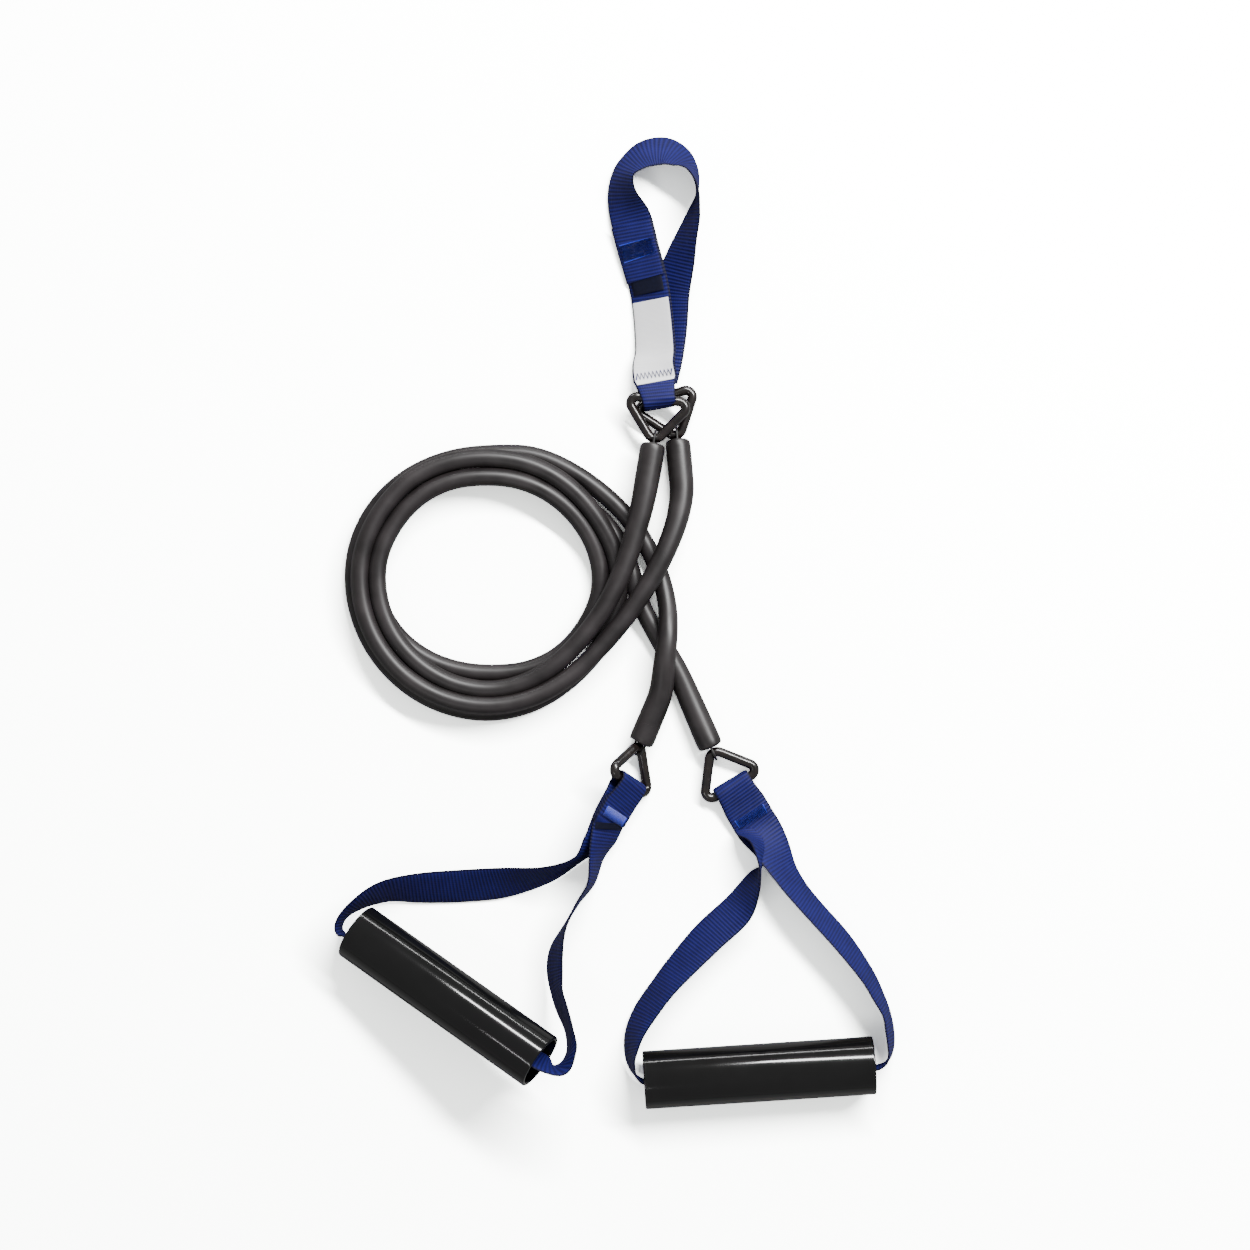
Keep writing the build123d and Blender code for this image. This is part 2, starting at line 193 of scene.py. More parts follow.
def tube_curve(name, first, route, last):
    """One smooth tube between two flared ends, and the point where it starts."""
    opening = tube_ends(first)
    closing = tube_ends(last)[::-1]
    body = [(p, 1.0) for p in route]
    for i, swell in enumerate(TAPER):
        body[i] = (body[i][0], swell)
        body[-1 - i] = (body[-1 - i][0], swell)
    control = opening + body + closing
    data = bpy.data.curves.new(name, "CURVE")
    data.dimensions = "3D"
    data.bevel_depth = 1.0
    data.bevel_resolution = 7
    data.resolution_u = 10
    data.use_fill_caps = True
    line = data.splines.new("NURBS")
    line.points.add(len(control) - 1)
    for knot, (place, thickness) in zip(line.points, control):
        knot.co = (place[0], place[1], place[2], 1)
        knot.radius = thickness * TUBE / 2
    line.order_u = 3
    line.use_endpoint_u = True
    piece = bpy.data.objects.new(name, data)
    bpy.context.scene.collection.objects.link(piece)
    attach(piece, "tubing")
    return piece, opening[0][0]


def mottle_group():
    """A cloudy pattern fixed to the piece: what it does to colour, roughness and height."""
    group = bpy.data.node_groups.new("surface_mottle", "ShaderNodeTree")
    for label, start in (("Scale", 100.0), ("Detail", 2.0), ("Dark Below", 0.0), ("Bright Above", 1.0),
                         ("Glossiest", 0.0), ("Dullest", 1.0)):
        socket = group.interface.new_socket(label, in_out="INPUT", socket_type="NodeSocketFloat")
        socket.default_value = start
    for label in ("Dark", "Bright"):
        group.interface.new_socket(label, in_out="INPUT", socket_type="NodeSocketColor")
    group.interface.new_socket("Color", in_out="OUTPUT", socket_type="NodeSocketColor")
    group.interface.new_socket("Roughness", in_out="OUTPUT", socket_type="NodeSocketFloat")
    group.interface.new_socket("Height", in_out="OUTPUT", socket_type="NodeSocketFloat")
    entry = group.nodes.new("NodeGroupInput")
    leave = group.nodes.new("NodeGroupOutput")
    place = group.nodes.new("ShaderNodeTexCoord")
    cloud = group.nodes.new("ShaderNodeTexNoise")
    share = group.nodes.new("ShaderNodeMapRange")
    tint = group.nodes.new("ShaderNodeMix")
    tint.data_type = "RGBA"
    gloss = group.nodes.new("ShaderNodeMapRange")
    links = group.links
    links.new(place.outputs["Object"], cloud.inputs["Vector"])
    links.new(entry.outputs["Scale"], cloud.inputs["Scale"])
    links.new(entry.outputs["Detail"], cloud.inputs["Detail"])
    links.new(cloud.outputs["Fac"], share.inputs["Value"])
    links.new(entry.outputs["Dark Below"], share.inputs["From Min"])
    links.new(entry.outputs["Bright Above"], share.inputs["From Max"])
    links.new(share.outputs["Result"], tint.inputs[MIX_SHARE])
    links.new(entry.outputs["Dark"], tint.inputs[MIX_FIRST])
    links.new(entry.outputs["Bright"], tint.inputs[MIX_SECOND])
    links.new(tint.outputs[MIX_COLOUR], leave.inputs["Color"])
    links.new(cloud.outputs["Fac"], gloss.inputs["Value"])
    links.new(entry.outputs["Glossiest"], gloss.inputs["To Min"])
    links.new(entry.outputs["Dullest"], gloss.inputs["To Max"])
    links.new(gloss.outputs["Result"], leave.inputs["Roughness"])
    links.new(cloud.outputs["Fac"], leave.inputs["Height"])
    return group


surface_mottle = mottle_group()


def plain_material(name):
    """A new material with nodes."""
    material = bpy.data.materials.new(name)
    material.use_nodes = True
    return material


def bumped(material, height, strength, distance):
    """Raises a material's surface by a height."""
    tree = material.node_tree
    bump = tree.nodes.new("ShaderNodeBump")
    bump.inputs["Strength"].default_value = strength
    bump.inputs["Distance"].default_value = distance
    tree.links.new(height, bump.inputs["Height"])
    tree.links.new(bump.outputs["Normal"], tree.nodes["Principled BSDF"].inputs["Normal"])


def mottled(material, scale, detail=2.0, tones=None, between=(0.0, 1.0), roughness=None):
    """Lays the mottle on a material's colour and roughness, where given, and returns its height."""
    tree = material.node_tree
    shader = tree.nodes["Principled BSDF"]
    mottle = tree.nodes.new("ShaderNodeGroup")
    mottle.node_tree = surface_mottle
    mottle.inputs["Scale"].default_value = scale
    mottle.inputs["Detail"].default_value = detail
    if tones:
        mottle.inputs["Dark Below"].default_value = between[0]
        mottle.inputs["Bright Above"].default_value = between[1]
        mottle.inputs["Dark"].default_value = (*tones[0], 1)
        mottle.inputs["Bright"].default_value = (*tones[1], 1)
        tree.links.new(mottle.outputs["Color"], shader.inputs["Base Color"])
    if roughness:
        mottle.inputs["Glossiest"].default_value = roughness[0]
        mottle.inputs["Dullest"].default_value = roughness[1]
        tree.links.new(mottle.outputs["Roughness"], shader.inputs["Roughness"])
    return mottle.outputs["Height"]


# Satin dark rubber with a faint bloom and a fine grain.
rubber = plain_material("tube_rubber_satin")
mottled(rubber, scale=55, detail=5, tones=((0.009, 0.0075, 0.0078), (0.025, 0.021, 0.022)),
        between=(0.32, 0.72), roughness=(0.34, 0.50))
bumped(rubber, mottled(rubber, scale=1400), strength=0.12, distance=0.0002)
inner_route = LEFT_LEAD + coil_points(INNER_TURNS) + RIGHT_TAIL
inner_tube, inner_exit = tube_curve("inner_tube", "upper_left", inner_route, "lower_right")
inner_tube.data.materials.append(rubber)
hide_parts("left_tube_lead", "right_tube_tail", "tube_coil")
outer_route = RIGHT_LEAD + coil_points(OUTER_TURNS) + LEFT_TAIL
outer_tube, outer_exit = tube_curve("outer_tube", "upper_right", outer_route, "lower_left")
outer_tube.data.materials.append(rubber)
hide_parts("right_tube_lead", "left_tube_tail")

# --- Flared tube ends ----------------------------------------------------------------------
# The mouth of each tube, pulled wide over its stopper.  Its lip is notched where the ring's
# wire passes, and stands up as two soft ears over and under the wire.
MOUTH_GAP = 0.0040
LIP_OUT = 0.00725
LIP_IN = 0.0059
EAR = 0.0008
EAR_NARROWING = 1.5
SQUEEZE = 0.03
SLEEVE = 0.0115
LIP_SIDES = 48
CREASE = radians(50)
# The way each ring's bar runs.
ACROSS = {
    "upper_left": (0.993, -0.115, 0.0), "upper_right": (0.943, 0.335, 0.0),
    "lower_left": (0.572, -0.411, -0.709), "lower_right": (0.860, 0.510, 0.0),
}
# Radius, depth behind the mouth and share of the ear's height, from the outside round the lip.
LIP_ROWS = [
    (LIP_OUT + 0.00003, SLEEVE, 0.0), (LIP_OUT + 0.00004, 0.0075, 0.0),
    (LIP_OUT + 0.0001, 0.0035, 0.3), (LIP_OUT, 0.0012, 0.8),
    (LIP_OUT - 0.00035, 0.0002, 0.97), (LIP_OUT - 0.0008, -0.0001, 1.0),
    (LIP_IN + 0.0002, 0.0001, 1.0), (LIP_IN, 0.0006, 0.95),
    (LIP_IN, 0.004, 0.2), (LIP_IN, SLEEVE, 0.0),
]


def lip_piece(place):
    """A short hollow sleeve with a wavy, rounded lip."""
    run = Vector(TUBE_RUN[place]).normalized()
    normal = run.cross(Vector(ACROSS[place])).normalized()
    side = normal.cross(run)
    mouth = Vector(APEX[place]) + run * MOUTH_GAP
    build = bmesh.new()
    rings = []
    for reach, depth, lift in LIP_ROWS:
        ring = []
        for i in range(LIP_SIDES):
            turn = 2 * pi * i / LIP_SIDES
            ear = EAR * lift * abs(sin(turn)) ** EAR_NARROWING
            squeeze = 1 - SQUEEZE * lift * cos(2 * turn)
            round_it = side * (reach * squeeze * cos(turn)) + normal * (reach * sin(turn))
            ring.append(build.verts.new(mouth + round_it + run * (depth - ear)))
        rings.append(ring)
    rings.append(rings[0])
    for before, after in zip(rings, rings[1:]):
        for i in range(LIP_SIDES):
            j = (i + 1) % LIP_SIDES
            build.faces.new((before[i], before[j], after[j], after[i]))
    bmesh.ops.recalc_face_normals(build, faces=build.faces)
    mesh = bpy.data.meshes.new(place + "_lip")
    build.to_mesh(mesh)
    build.free()
    mesh.shade_smooth()
    mesh.set_sharp_from_angle(angle=CREASE)
    piece = bpy.data.objects.new(place + "_lip", mesh)
    bpy.context.scene.collection.objects.link(piece)
    mesh.materials.append(rubber)
    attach(piece, "tubing")
    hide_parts(place + "_tube_end")


for place in APEX:
    lip_piece(place)

# --- Loops and stoppers --------------------------------------------------------------------
# A thin rubber loop runs from the stopper round the wire and back.  Both sit inside the
# flared end, so the CAD shapes stay and only take their materials.
loop_material = plain_material("loop_rubber_dark")
loop_shader = loop_material.node_tree.nodes["Principled BSDF"]
loop_shader.inputs["Base Color"].default_value = (0.010, 0.009, 0.009, 1)
mottled(loop_material, scale=500, roughness=(0.35, 0.6))

plug_material = loop_material.copy()
plug_material.name = "plug_moulded_grey"
plug_shader = plug_material.node_tree.nodes["Principled BSDF"]
plug_shader.inputs["Base Color"].default_value = (0.045, 0.045, 0.047, 1)

for place in APEX:
    for part, material in (("_end_loop", loop_material), ("_end_plug", plug_material)):
        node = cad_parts[place + part]
        node.data.materials.clear()
        node.data.materials.append(material)

# --- Wire rings ----------------------------------------------------------------------------
# Round steel wire bent to a triangle and coated glossy black.  The narrow corner sits in a
# tube's loop, and the straight bar opposite carries the webbing.
ring_material = plain_material("ring_coating_black")
ring_shader = ring_material.node_tree.nodes["Principled BSDF"]
ring_shader.inputs["Coat Weight"].default_value = 0.6
ring_shader.inputs["Coat Roughness"].default_value = 0.08
mottled(ring_material, scale=220, detail=6, tones=((0.004, 0.003, 0.003), (0.014, 0.009, 0.008)),
        between=(0.35, 0.8), roughness=(0.16, 0.34))
for place in APEX:
    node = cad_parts[place + "_ring"]
    node.data.materials.clear()
    node.data.materials.append(ring_material)

# --- Anchor strap --------------------------------------------------------------------------
# One length of blue nylon webbing, 25 mm wide.  It is folded round the bars of both upper
# rings, stands on its edge round the loop, and its ends overlap and are sewn together.
WEB_WIDTH = 0.0254
WEB = 0.0016
WEB_PROFILE = [-1.0, -0.97, -0.85, -0.6, -0.3, 0.0, 0.3, 0.6, 0.85, 0.97, 1.0]
WEB_EDGE_POWER = 8
WEB_EDGE_SHARE = 0.12
BEND_START = 70
BEND_SPAN = 220
BEND_STEPS = 14


def web_stations(path, scale=0.001):
    """Middle and width direction at each point of a path of x, y, z in mm and bank in degrees."""
    result = []
    for i, (x, y, z, bank) in enumerate(path):
        before = Vector(path[max(i - 1, 0)][:3])
        after = Vector(path[min(i + 1, len(path) - 1)][:3])
        run = (after - before).normalized()
        left = Vector((0, 0, 1)).cross(run).normalized()
        up = run.cross(left)
        width = left * cos(radians(bank)) + up * sin(radians(bank))
        result.append((Vector((x, y, z)) * scale, width))
    return result


def web_smooth(stations, steps):
    """Catmull-Rom middles and width directions through the stations, a few steps to each."""
    result = []
    for i in range(len(stations) - 1):
        four = [stations[min(max(i + k, 0), len(stations) - 1)] for k in (-1, 0, 1, 2)]
        for step in range(steps):
            t = step / steps
            weights = (-0.5 * t + t * t - 0.5 * t ** 3, 1 - 2.5 * t * t + 1.5 * t ** 3,
                       0.5 * t + 2 * t * t - 1.5 * t ** 3, -0.5 * t * t + 0.5 * t ** 3)
            middle = sum((spot[0] * weight for spot, weight in zip(four, weights)), Vector())
            width = sum((spot[1] * weight for spot, weight in zip(four, weights)), Vector())
            result.append((middle, width.normalized()))
    result.append(stations[-1])
    return result


def web_dress(frames, closed=False):
    """Adds the face normal to each middle and width direction; a short width gathers the webbing."""
    result = []
    last = len(frames) - 1
    for i, (middle, width) in enumerate(frames):
        before = frames[i - 1 if i or closed else 0][0]
        after = frames[i + 1 if i < last else (0 if closed else last)][0]
        run = (after - before).normalized()
        gather = width.length
        side = (width - run * width.dot(run)).normalized()
        result.append((middle, side * gather, side.cross(run)))
    return result


def web_fold(bar, out, across, ahead, behind, sides, flats, gather):
    """The sewn head: flat towards the bar, half round it, and flat away from it again."""
    up = across.cross(out).normalized()
    if (behind - ahead).dot(up) < 0:
        up = -up
    back = [(bar + out * distance + up * height, across * wide)
            for distance, height, wide in reversed(flats)]
    forth = [(bar + out * distance - up * height, across * wide)
             for distance, height, wide in flats]
    bend = []
    for i in range(BEND_STEPS + 1):
        angle = radians(BEND_START + BEND_SPAN * i / BEND_STEPS)
        spot = bar + out * (sides[0] * cos(angle)) + up * (sides[1] * sin(angle))
        bend.append((spot, across * gather))
    return back + bend + forth


def web_stretch(frames, start, end, steps):
    """The dressed frames between two fractional places among the stations."""
    return frames[int(start * steps):int(end * steps) + 1]


def web_piece(name, frames, body, material, width=WEB_WIDTH, thickness=WEB, offset=0.0,
              closed=False):
    """Flat webbing with thin rounded edges; UV is metres across and along. With no body, it is left
    unattached.
    """
    build = bmesh.new()
    layer = build.loops.layers.uv.new("UVMap")
    around = [(s, 1) for s in WEB_PROFILE] + [(s, -1) for s in reversed(WEB_PROFILE)]
    loops = []
    for middle, side, normal in frames:
        loop = []
        for s, face in around:
            edge = (1 - abs(s) ** WEB_EDGE_POWER) ** 0.5 if abs(s) < 1 else 0.0
            rise = offset + face * thickness / 2 * max(edge, WEB_EDGE_SHARE)
            loop.append(build.verts.new(middle + side * (s * width / 2) + normal * rise))
        loops.append(loop)
    travelled = [0.0]
    for before, after in zip(frames, frames[1:]):
        travelled.append(travelled[-1] + (after[0] - before[0]).length)
    pairs = list(zip(range(len(loops) - 1), range(1, len(loops))))
    if closed:
        pairs.append((len(loops) - 1, 0))
    total = travelled[-1] + (frames[0][0] - frames[-1][0]).length
    for i, j in pairs:
        ahead = travelled[j] if j else total
        for k in range(len(around)):
            m = (k + 1) % len(around)
            face = build.faces.new((loops[i][k], loops[i][m], loops[j][m], loops[j][k]))
            spots = ((around[k][0], travelled[i]), (around[m][0], travelled[i]),
                     (around[m][0], ahead), (around[k][0], ahead))
            for corner, (s, along) in zip(face.loops, spots):
                corner[layer].uv = (s * width / 2, along)
    if not closed:
        for end in (loops[0], loops[-1]):
            face = build.faces.new(end)
            for corner in face.loops:
                corner[layer].uv = (0, 0)
    bmesh.ops.recalc_face_normals(build, faces=build.faces)
    mesh = bpy.data.meshes.new(name)
    build.to_mesh(mesh)
    build.free()
    mesh.shade_smooth()
    mesh.set_sharp_from_angle(angle=CREASE)
    mesh.materials.append(material)
    piece = bpy.data.objects.new(name, mesh)
    bpy.context.scene.collection.objects.link(piece)
    if body:
        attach(piece, body)
    return piece


RIB_HEIGHT = 0.42
END_HEIGHT = 0.08
RIB_STAGGER = 0.12
EDGE_BAND = 0.0014
EDGE_STEEPNESS = 900
# Share of the deep colour left in the painted edge shade, and weight of the weave's height in the
# colour, which paints shade in the grooves and highlight on the ribs.
RIM_SHADE = 0.35
GROOVE_SHADE_SHARE = 0.55
PATCH_SHARE = 0.5


def weave_group():
    """Webbing weave: crosswise ribs broken by fine lengthwise ends, and a mask of the edges for painted
    edge shade.
    """
    group = bpy.data.node_groups.new("webbing_weave", "ShaderNodeTree")
    group.interface.new_socket("Rib Pitch", in_out="INPUT", socket_type="NodeSocketFloat")
    group.interface.new_socket("End Pitch", in_out="INPUT", socket_type="NodeSocketFloat")
    group.interface.new_socket("Height", in_out="OUTPUT", socket_type="NodeSocketFloat")
    group.interface.new_socket("Edge", in_out="OUTPUT", socket_type="NodeSocketFloat")
    nodes = group.nodes
    links = group.links
    entry = nodes.new("NodeGroupInput")
    leave = nodes.new("NodeGroupOutput")
    uv = nodes.new("ShaderNodeUVMap")
    split = nodes.new("ShaderNodeSeparateXYZ")
    links.new(uv.outputs["UV"], split.inputs["Vector"])

    def maths(operation, first, second=None):
        node = nodes.new("ShaderNodeMath")
        node.operation = operation
        for socket, value in zip(node.inputs, (first, second)):
            if value is None:
                continue
            if isinstance(value, (int, float)):
                socket.default_value = value
            else:
                links.new(value, socket)
        return node.outputs["Value"]

    ends = maths("DIVIDE", split.outputs["X"], entry.outputs["End Pitch"])
    end_wave = maths("SINE", maths("MULTIPLY", ends, 2 * pi))
    phase = maths("MULTIPLY", maths("FLOOR", ends), pi)
    picks = maths("DIVIDE", split.outputs["Y"], entry.outputs["Rib Pitch"])
    ribs = maths("MULTIPLY", picks, 2 * pi)
    rib_wave = maths("SINE", maths("ADD", ribs, maths("MULTIPLY", phase, RIB_STAGGER)))
    rib_part = maths("MULTIPLY", rib_wave, RIB_HEIGHT)
    end_part = maths("MULTIPLY", end_wave, END_HEIGHT)
    height = maths("ADD", rib_part, end_part)
    links.new(maths("ADD", height, 0.5), leave.inputs["Height"])
    # A mask of a narrow band along each edge, where painted shade goes.
    edge = maths("SUBTRACT", maths("ABSOLUTE", split.outputs["X"]), WEB_WIDTH / 2 - EDGE_BAND)
    links.new(maths("MULTIPLY", edge, EDGE_STEEPNESS), leave.inputs["Edge"])
    return group


webbing_weave = weave_group()


def webbing_material(name, deep, bright, rib_pitch, end_pitch, depth):
    """Woven nylon: painted shade darkens the grooves and the edges, and painted highlight brightens the
    ribs.
    """
    material = plain_material(name)
    tree = material.node_tree
    shader = tree.nodes["Principled BSDF"]
    shader.inputs["Roughness"].default_value = 0.62
    shader.inputs["Specular IOR Level"].default_value = 0.25
    weave = tree.nodes.new("ShaderNodeGroup")
    weave.node_tree = webbing_weave
    weave.inputs["Rib Pitch"].default_value = rib_pitch
    weave.inputs["End Pitch"].default_value = end_pitch
    # The weave's height is painted into the colour: painted shade in the grooves and painted highlight
    # on the ribs, mixed with random patches.
    groove_shade_and_patches = tree.nodes.new("ShaderNodeMath")
    groove_shade_and_patches.operation = "MULTIPLY_ADD"
    groove_shade_and_patches.inputs[1].default_value = GROOVE_SHADE_SHARE
    tree.links.new(weave.outputs["Height"], groove_shade_and_patches.inputs[0])
    spread = tree.nodes.new("ShaderNodeMath")
    spread.operation = "MULTIPLY"
    spread.inputs[1].default_value = PATCH_SHARE
    patches = mottled(material, scale=90, detail=6)
    tree.links.new(patches, spread.inputs[0])
    tree.links.new(spread.outputs["Value"], groove_shade_and_patches.inputs[2])
    tint = tree.nodes.new("ShaderNodeValToRGB")
    tint.color_ramp.elements[0].position = 0.25
    tint.color_ramp.elements[0].color = (*deep, 1)
    tint.color_ramp.elements[1].position = 0.85
    tint.color_ramp.elements[1].color = (*bright, 1)
    tree.links.new(groove_shade_and_patches.outputs["Value"], tint.inputs["Fac"])
    # Painted shade darkens a narrow band along each edge of the webbing.
    painted_edge_shade = tree.nodes.new("ShaderNodeMix")
    painted_edge_shade.data_type = "RGBA"
    painted_edge_shade.clamp_factor = True
    painted_edge_shade.inputs[MIX_SECOND].default_value = (*(channel * RIM_SHADE for channel in deep), 1)
    tree.links.new(weave.outputs["Edge"], painted_edge_shade.inputs[MIX_SHARE])
    tree.links.new(tint.outputs["Color"], painted_edge_shade.inputs[MIX_FIRST])
    tree.links.new(painted_edge_shade.outputs[MIX_COLOUR], shader.inputs["Base Color"])
    bumped(material, weave.outputs["Height"], strength=0.8, distance=depth)
    return material


blue_webbing = webbing_material("webbing_royal_blue", deep=(0.0024, 0.0027, 0.044),
                                bright=(0.0080, 0.0088, 0.122), rib_pitch=0.0020,
                                end_pitch=0.0015, depth=0.0004)
# x, y, z in mm and bank in degrees along the loop, from the front leg at the bars round to the back.
ANCHOR_PATH = [(21.9, 139.5, 12.1, 180), (21, 148, 10.5, 165), (22, 160, 8, 156), (19, 190, 7, 153),
               (12, 217, 7, 158), (8, 232, 8, 158), (3, 246, 11, 132), (3, 257, 12, 121),
               (8, 264, 11, 125), (17, 270, 10, 135), (27, 271.5, 10, 136), (36, 268, 11, 127),
               (42.5, 262, 12, 109), (45.5, 254, 13, 97), (46, 245, 14, 86), (44, 235, 13, 72),
               (40, 222, 12, 60), (36, 208, 10, 45), (31, 190, 7, 30), (29, 171, 6, 24),
               (26, 154, 7, 14), (22.1, 139.0, 8.7, 0)]
ANCHOR_BAR = Vector((0.0240, 0.1280, 0.0104))
ANCHOR_OUT = Vector((-0.184, 0.983, 0.0))
ANCHOR_ACROSS = Vector((0.983, 0.184, 0.0))
ANCHOR_SIDES = (0.0048, 0.0070)
# Distance from the bars, height over them and share of the full width, on each side of the fold.
ANCHOR_FLATS = [(0.0035, 0.0064, 0.80), (0.0065, 0.0050, 0.84), (0.0095, 0.0032, 0.92)]
ANCHOR_GATHER = 0.76
ANCHOR_STEPS = 7
# Where things start and end along the front leg, in stations of the path.
LABEL_STATIONS = (0, 2.95)
MELTED_STATIONS = (3.04, 3.34)
TAB_STATIONS = (3.3, 4.95)
TACK_STATIONS = (3.72, 4.15)
anchor_run = web_smooth(web_stations(ANCHOR_PATH), ANCHOR_STEPS)
anchor_fold = web_fold(ANCHOR_BAR, ANCHOR_OUT, ANCHOR_ACROSS, anchor_run[0][0], anchor_run[-1][0],
                       ANCHOR_SIDES, ANCHOR_FLATS, ANCHOR_GATHER)
anchor_frames = web_dress(anchor_run + anchor_fold, closed=True)
anchor_legs = anchor_frames[:len(anchor_run)]
anchor_strap = web_piece("anchor_webbing", anchor_frames, None, blue_webbing, closed=True)
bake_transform(anchor_strap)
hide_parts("anchor_strap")

# The free end of the same webbing lies over the front leg, with its cut edge melted dark.
tab_frames = web_stretch(anchor_legs, *TAB_STATIONS, ANCHOR_STEPS)
anchor_tab = web_piece("anchor_webbing_end", tab_frames, "anchor", blue_webbing, offset=WEB)
melted = plain_material("melted_webbing_end")
melted_shader = melted.node_tree.nodes["Principled BSDF"]
melted_shader.inputs["Roughness"].default_value = 0.7
melted_shader.inputs["Specular IOR Level"].default_value = 0.15
mottled(melted, scale=900, tones=((0.0015, 0.0015, 0.005), (0.005, 0.006, 0.022)))
melted_frames = web_stretch(anchor_legs, *MELTED_STATIONS, ANCHOR_STEPS)
anchor_melted_end = web_piece("anchor_melted_end", melted_frames, "anchor", melted,
                              width=WEB_WIDTH * 0.78, thickness=WEB * 0.8, offset=WEB * 0.8)

# --- Label ---------------------------------------------------------------------------------
# A plain white woven label, left blank, that is sewn over the front leg next to the rings.
LABEL_WIDTH = 0.0232
LABEL = 0.0006
# The label's weave carries the same painted groove shade, painted rib highlight and painted edge shade.
label_material = webbing_material("label_white_weave", deep=(0.86, 0.86, 0.88),
                                  bright=(0.97, 0.97, 0.98), rib_pitch=0.0007,
                                  end_pitch=0.0006, depth=0.00008)
label_frames = [anchor_frames[-1]] + web_stretch(anchor_legs, *LABEL_STATIONS, ANCHOR_STEPS)
label = web_piece("woven_label", label_frames, "anchor", label_material, width=LABEL_WIDTH,
                  thickness=LABEL, offset=(WEB + LABEL) / 2)
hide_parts("anchor_label")

# --- Stitching -----------------------------------------------------------------------------
# Blue thread: a dark zigzag through the label near the rings, and close bright rows in a bar
# tack wherever the webbing is doubled.
THREAD = 0.0003
LABEL_THREAD = 0.00042


def thread_material(name, deep, bright):
    """Twisted thread with a light sheen."""
    material = plain_material(name)
    shader = material.node_tree.nodes["Principled BSDF"]
    shader.inputs["Roughness"].default_value = 0.45
    shader.inputs["Sheen Weight"].default_value = 0.3
    twist = mottled(material, scale=1800, tones=(deep, bright), between=(0.3, 0.7))
    bumped(material, twist, strength=0.4, distance=0.0001)
    return material


tack_thread = thread_material("tack_thread_blue", deep=(0.006, 0.018, 0.34), bright=(0.016, 0.050, 0.80))
dark_thread = thread_material("label_thread_navy", deep=(0.004, 0.006, 0.06), bright=(0.02, 0.03, 0.22))


def thread_tree():
    """Sweeps the edges of a mesh to a round thread; gives the tree and its two inputs' names."""
    group = bpy.data.node_groups.new("thread_along_edges", "GeometryNodeTree")
    group.interface.new_socket("Geometry", in_out="INPUT", socket_type="NodeSocketGeometry")
    radius = group.interface.new_socket("Thread Radius", in_out="INPUT", socket_type="NodeSocketFloat")
    finish = group.interface.new_socket("Thread", in_out="INPUT", socket_type="NodeSocketMaterial")
    group.interface.new_socket("Geometry", in_out="OUTPUT", socket_type="NodeSocketGeometry")
    nodes = group.nodes
    entry = nodes.new("NodeGroupInput")
    leave = nodes.new("NodeGroupOutput")
    curve = nodes.new("GeometryNodeMeshToCurve")
    circle = nodes.new("GeometryNodeCurvePrimitiveCircle")
    circle.inputs["Resolution"].default_value = 6
    sweep = nodes.new("GeometryNodeCurveToMesh")
    sweep.inputs["Fill Caps"].default_value = True
    real = nodes.new("GeometryNodeRealizeInstances")
    paint = nodes.new("GeometryNodeSetMaterial")
    links = group.links
    links.new(entry.outputs["Geometry"], curve.inputs["Mesh"])
    links.new(entry.outputs["Thread Radius"], circle.inputs["Radius"])
    links.new(curve.outputs["Curve"], sweep.inputs["Curve"])
    links.new(circle.outputs["Curve"], sweep.inputs["Profile Curve"])
    links.new(sweep.outputs["Mesh"], real.inputs["Geometry"])
    links.new(real.outputs["Geometry"], paint.inputs["Geometry"])
    links.new(entry.outputs["Thread"], paint.inputs["Material"])
    links.new(paint.outputs["Geometry"], leave.inputs["Geometry"])
    return group, radius.identifier, finish.identifier


thread_along_edges, radius_input, finish_input = thread_tree()


def stitch_row(name, corners, body, material, radius=THREAD):
    """One thread along a zigzag of points, swept to a round section by Geometry Nodes."""
    mesh = bpy.data.meshes.new(name)
    mesh.from_pydata([tuple(c) for c in corners], [(i, i + 1) for i in range(len(corners) - 1)], [])
    piece = bpy.data.objects.new(name, mesh)
    bpy.context.scene.collection.objects.link(piece)
    modifier = piece.modifiers.new("thread", "NODES")
    modifier.node_group = thread_along_edges
    modifier[radius_input] = radius
    modifier[finish_input] = material
    seen = piece.evaluated_get(bpy.context.evaluated_depsgraph_get())
    swept = bpy.data.meshes.new_from_object(seen)
    piece.modifiers.clear()
    piece.data = swept
    bpy.data.meshes.remove(mesh)
    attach(piece, body)
    return piece


def place_on(frames, s, along, lift):
    """A point on the webbing: share of the half width, share of the run, height over its middle."""
    spot = along * (len(frames) - 1)
    i = min(int(spot), len(frames) - 2)
    share = spot - i
    middle, side, normal = (a * (1 - share) + b * share for a, b in zip(frames[i], frames[i + 1]))
    return middle + side * (s * WEB_WIDTH / 2) + normal * lift


def zigzag(frames, half, count, lift):
    """Points of a zigzag that runs along the frames and swings across them."""
    return [place_on(frames, half if i % 2 else -half, i / count, lift) for i in range(count + 1)]


def cross_zigzag(frames, half, count, lift, start, end):
    """Points of a zigzag that runs across the frames and swings along them."""
    return [place_on(frames, -half + 2 * half * i / count, end if i % 2 else start, lift)
            for i in range(count + 1)]


label_lift = WEB / 2 + LABEL + THREAD
label_corners = cross_zigzag(label_frames, half=0.84, count=19, lift=label_lift, start=0.11, end=0.25)
label_row = stitch_row("label_zigzag", label_corners, "anchor", dark_thread,
                       LABEL_THREAD)
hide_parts("label_stitching")
tack_frames = web_stretch(anchor_legs, *TACK_STATIONS, ANCHOR_STEPS)
tack_corners = zigzag(tack_frames, half=0.80, count=46, lift=1.5 * WEB + THREAD)
anchor_tack = stitch_row("anchor_tack_rows", tack_corners, "anchor", tack_thread)
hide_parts("anchor_bar_tack")

